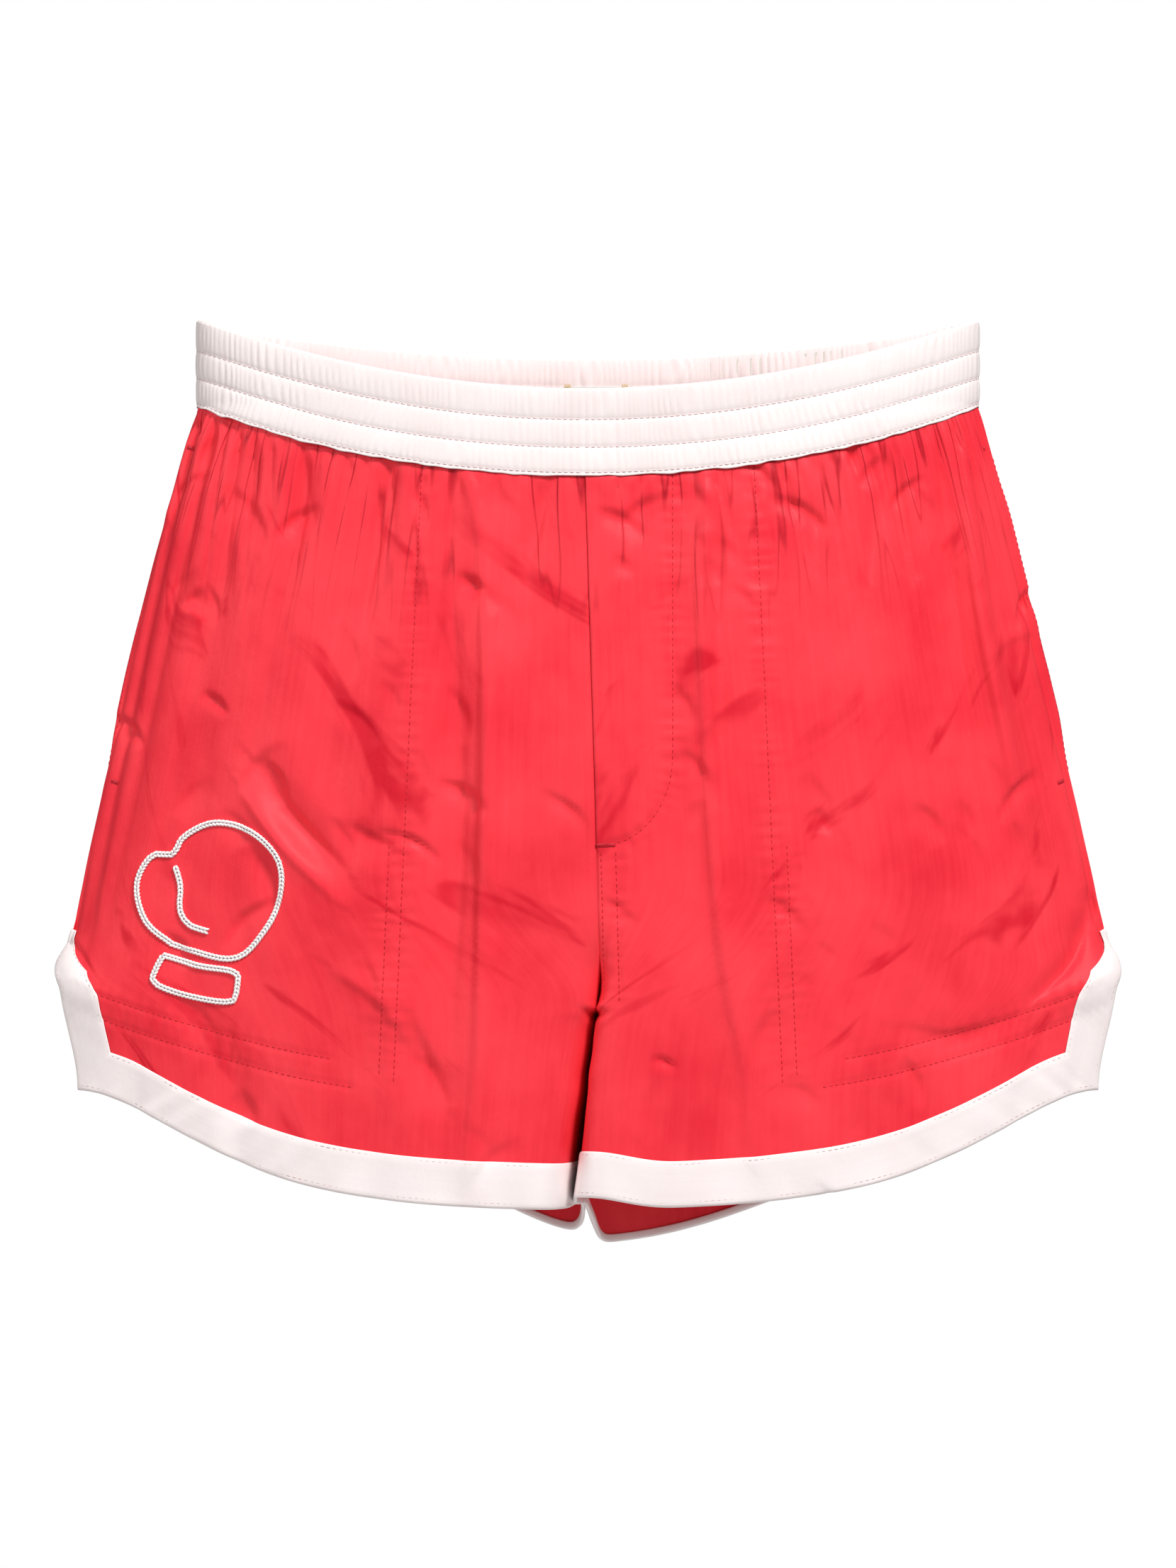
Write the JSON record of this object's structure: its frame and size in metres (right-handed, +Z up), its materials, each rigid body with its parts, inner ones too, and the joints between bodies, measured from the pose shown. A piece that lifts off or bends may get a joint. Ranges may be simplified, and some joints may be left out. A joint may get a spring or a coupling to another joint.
{
  "type": "boxing shorts",
  "caption": "Loose boxing shorts with a gathered elastic waistband, side pockets, a mock fly, side vents and contrast tape round the hems.",
  "frame": {"origin": "centre of the waist opening, level with the middle of the waistband at the side seams", "axes": "+Z up, -Y towards the front of the shorts, +X towards the wearer's left"},
  "size_m": [0.5118, 0.1319, 0.4465],
  "materials": {
    "satin_red": "bright red polyester satin",
    "satin_pink": "very pale pink polyester satin",
    "elastic": "woven elastic, sealed in the waistband",
    "lining": "red plain-weave lining",
    "red_thread": "dense red bar-tack thread",
    "ivory_thread": "pale chain-stitch embroidery thread",
    "label": "blank pale grey woven label"
  },
  "bodies": {
    "seat": {"waistband_casing": "satin_pink", "elastic_bottom": "elastic", "elastic_middle": "elastic", "elastic_top": "elastic", "front_panel_left_upper": "satin_red", "back_panel_left_upper": "satin_red", "pocket_bag_left_upper": "lining", "front_panel_right_upper": "satin_red", "back_panel_right_upper": "satin_red", "pocket_bag_right_upper": "lining", "fly_facing": "lining", "bar_tack_fly": "red_thread", "bar_tack_pocket_left_top": "red_thread", "bar_tack_pocket_left_bottom": "red_thread", "bar_tack_pocket_right_top": "red_thread", "bar_tack_pocket_right_bottom": "red_thread"},
    "leg_left": {"front_panel_left_lower": "satin_red", "back_panel_left_lower": "satin_red", "hem_tape_front_left": "satin_pink", "hem_tape_back_left": "satin_pink", "pocket_bag_left_lower": "lining"},
    "leg_right": {"front_panel_right_lower": "satin_red", "back_panel_right_lower": "satin_red", "hem_tape_front_right": "satin_pink", "hem_tape_back_right": "satin_pink", "pocket_bag_right_lower": "lining", "emblem_mitt": "ivory_thread", "emblem_cuff": "ivory_thread", "emblem_thumb": "ivory_thread"},
    "label": {"waist_label": "label"}
  },
  "joints": [
    {"name": "leg_left_swing", "type": "hinge", "parent": "seat", "child": "leg_left", "pos_m": [0.125, -0.003, -0.182], "axis": [-1, 0, 0], "range_deg": [-15, 45]},
    {"name": "leg_right_swing", "type": "hinge", "parent": "seat", "child": "leg_right", "pos_m": [-0.125, -0.003, -0.182], "axis": [-1, 0, 0], "range_deg": [-15, 45]},
    {"name": "label_flip", "type": "hinge", "parent": "seat", "child": "label", "pos_m": [0.004, 0.0389, -0.009], "axis": [-1, 0, 0], "range_deg": [0, 120]}
  ]
}
